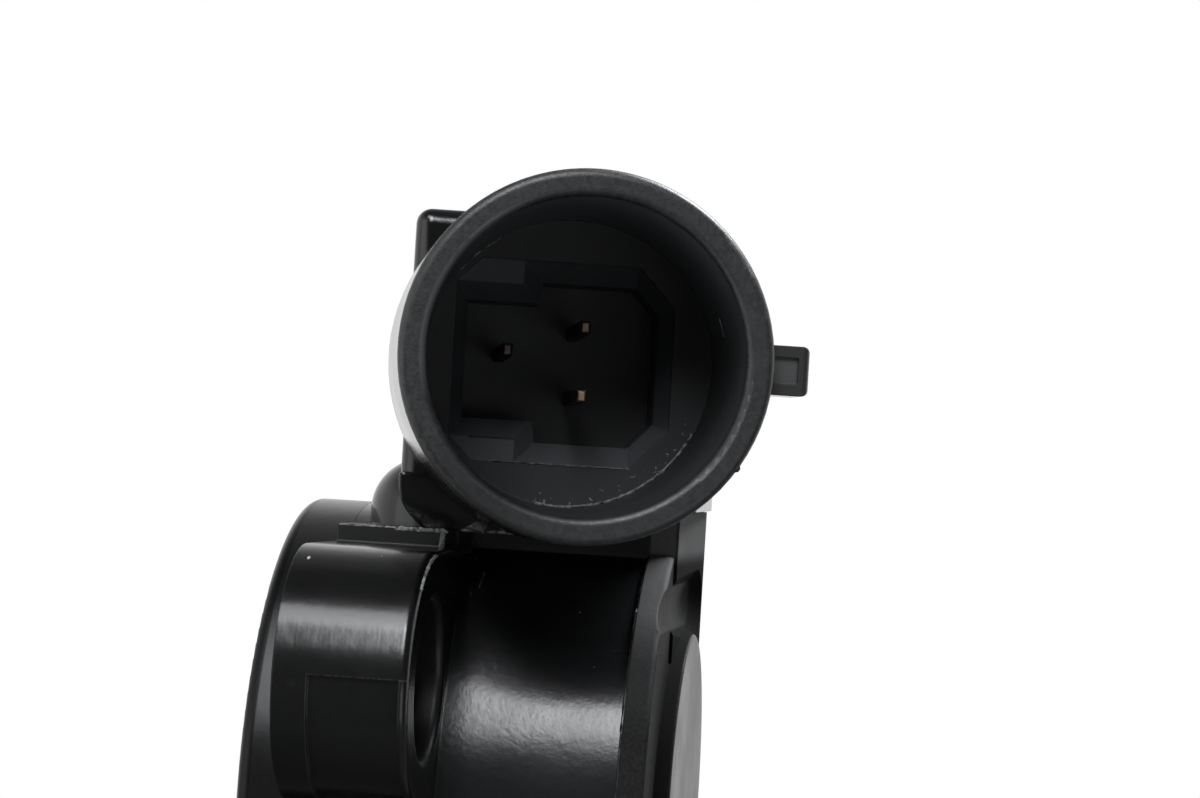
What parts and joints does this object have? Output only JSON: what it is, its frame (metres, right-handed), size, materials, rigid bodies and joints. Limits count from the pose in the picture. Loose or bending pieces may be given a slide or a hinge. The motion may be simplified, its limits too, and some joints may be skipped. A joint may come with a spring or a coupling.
{
  "type": "throttle position sensor",
  "caption": "Black moulded rotary throttle position sensor with a round shrouded connector, two screw ears, a pilot ring and a sprung drive rotor.",
  "frame": {"origin": "on the rotor axis, in the plane of the ears' seating faces", "axes": "+X along the rotor axis from the mounting side to the cover, -Y toward the side the connector mouth faces, +Z from the rotor toward the connector"},
  "size_m": [0.0335, 0.0578, 0.0577],
  "materials": {
    "housing_plastic": "moulded black, satin to semi-gloss",
    "cover_plastic": "moulded black, matte",
    "rotor_plastic": "moulded dark grey",
    "contact_metal": "bright spring metal",
    "card": "laminate card",
    "track_ink": "printed carbon ink",
    "spring_steel": "drawn wire",
    "seal_rubber": "moulded rubber",
    "washer_plastic": "natural nylon",
    "terminal_metal": "tinned brass blade"
  },
  "bodies": {
    "housing_body": {"housing": "housing_plastic", "cover": "cover_plastic", "element_card": "card", "resistance_track": "track_ink", "collector_track": "track_ink", "terminal_a": "terminal_metal", "terminal_b": "terminal_metal", "terminal_c": "terminal_metal", "return_spring": "spring_steel", "rotor_seal": "seal_rubber", "thrust_washer": "washer_plastic"},
    "rotor_body": {"rotor": "rotor_plastic", "wiper": "contact_metal"}
  },
  "joints": [
    {"name": "rotor_turn", "type": "hinge", "parent": "housing_body", "child": "rotor_body", "pos_m": [0, 0, 0], "axis": [1, 0, 0], "range_deg": [0, 95], "stiffness_Nm_per_rad": 0.01, "springref_deg": -34.38, "deforming": ["return_spring"]}
  ]
}
